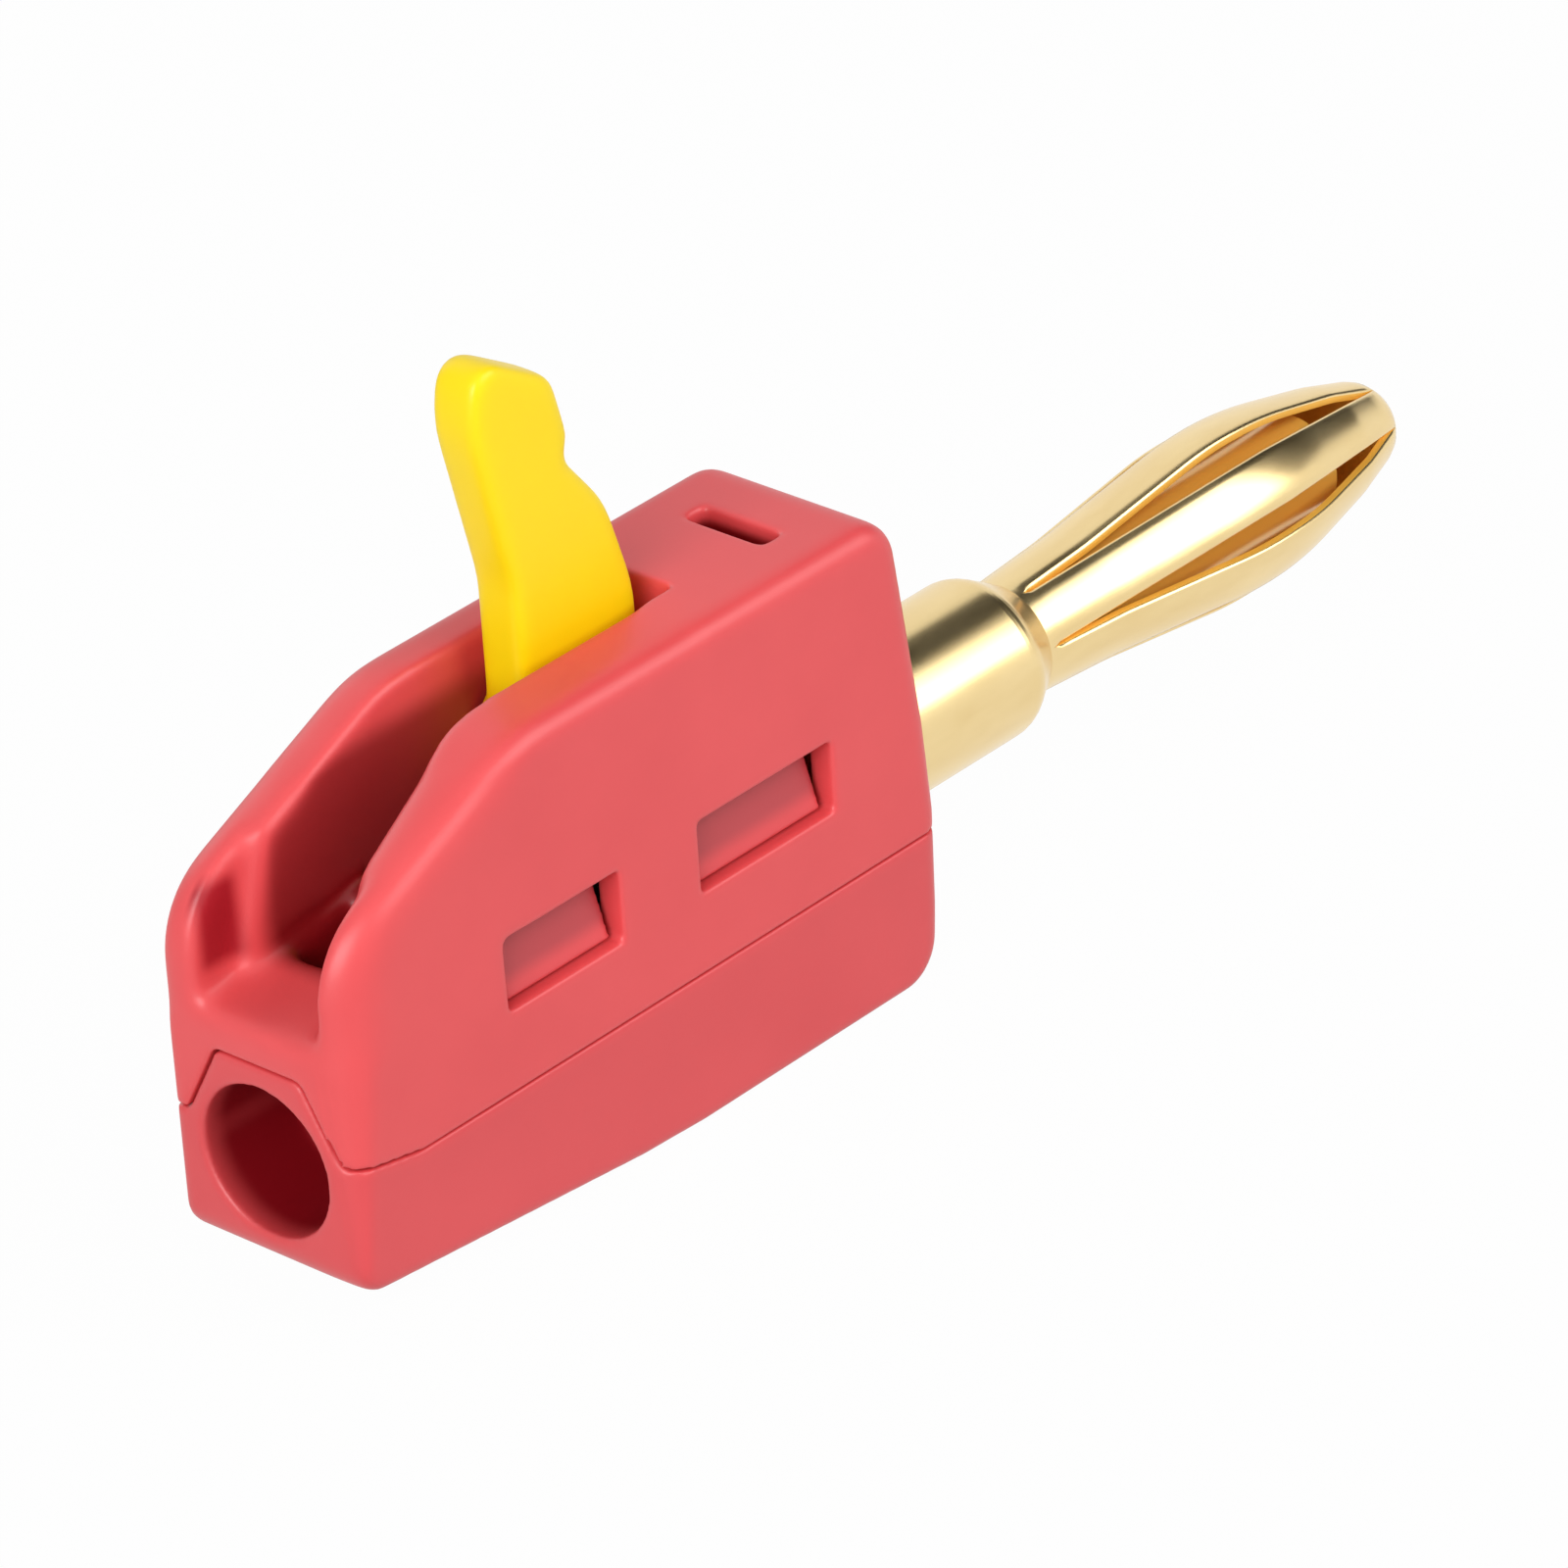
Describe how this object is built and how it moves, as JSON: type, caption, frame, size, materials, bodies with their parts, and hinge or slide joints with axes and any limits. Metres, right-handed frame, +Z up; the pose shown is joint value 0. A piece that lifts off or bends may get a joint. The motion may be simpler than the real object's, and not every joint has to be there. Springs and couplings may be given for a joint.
{
  "type": "banana plug",
  "caption": "Banana plug with a flat two-part housing, a raised clamping lever over a round wire entry, and a sprung contact pin with bulging leaves behind a plain collar.",
  "frame": {"origin": "middle of the overall length and width, on the plane of the flat underside", "axes": "+X from the wire end to the tip of the pin, +Y across the width, +Z up through the raised lever"},
  "size_m": [0.0424, 0.006, 0.021],
  "materials": {
    "housing_red": "satin moulded",
    "lever_yellow": "satin moulded",
    "spring_steel": "rolled",
    "bar_copper": "rolled",
    "pin_gold": "bright plated"
  },
  "bodies": {
    "housing": {"upper_housing": "housing_red", "lower_cover": "housing_red", "cage_clamp": "spring_steel", "current_bar": "bar_copper", "contact_pin": "pin_gold", "spring_sleeve": "pin_gold"},
    "lever": {"lever": "lever_yellow"}
  },
  "joints": [
    {"name": "lever_hinge", "type": "hinge", "parent": "housing", "child": "lever", "pos_m": [-0.01, 0.0003, 0.01055], "axis": [0, -1, 0], "range_deg": [0, 88]}
  ]
}
